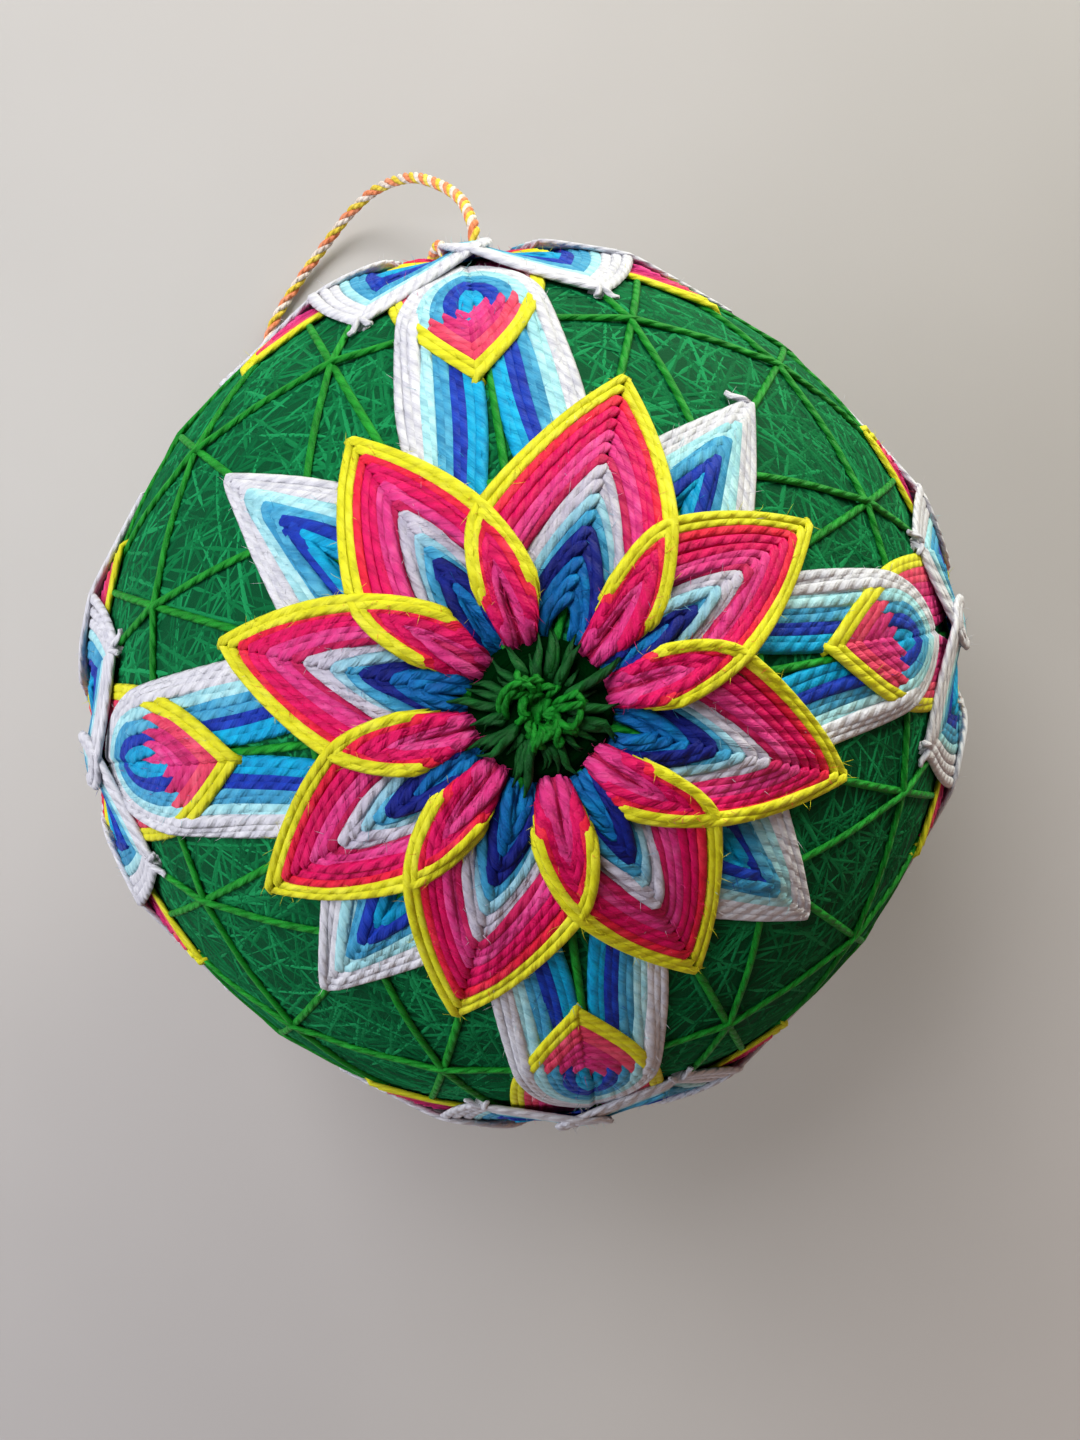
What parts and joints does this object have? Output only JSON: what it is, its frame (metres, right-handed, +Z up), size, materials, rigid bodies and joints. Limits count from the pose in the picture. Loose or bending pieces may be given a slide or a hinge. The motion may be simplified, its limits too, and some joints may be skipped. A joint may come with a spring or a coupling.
{
  "type": "temari ball",
  "caption": "Thread-wound ball with layered herringbone-stitched flowers at its poles, marking lines between them, and a twisted hanging loop.",
  "frame": {"origin": "on the floor under the middle of the ball, at the flat spot that it rests on", "axes": "+Z up through the front flower's centre, +Y toward the flower that the hanging loop is sewn into"},
  "size_m": [0.0962, 0.1224, 0.0953],
  "materials": {
    "wrap": "fine wound thread",
    "blue_threads": "soft twisted thread",
    "pink_threads": "soft twisted thread",
    "centre_threads": "soft twisted thread",
    "cord": "twisted thread cord"
  },
  "bodies": {
    "root": {"ball": "wrap", "front_lower_flower": "blue_threads", "front_upper_flower": "pink_threads", "front_centre": "centre_threads", "back_lower_flower": "blue_threads", "back_upper_flower": "pink_threads", "back_centre": "centre_threads", "top_lower_flower": "pink_threads", "top_upper_flower": "blue_threads", "top_centre": "centre_threads", "bottom_lower_flower": "pink_threads", "bottom_upper_flower": "blue_threads", "bottom_centre": "centre_threads", "right_lower_flower": "pink_threads", "right_upper_flower": "blue_threads", "right_centre": "centre_threads", "left_lower_flower": "pink_threads", "left_upper_flower": "blue_threads", "left_centre": "centre_threads", "loop_cord": "cord"}
  },
  "joints": []
}
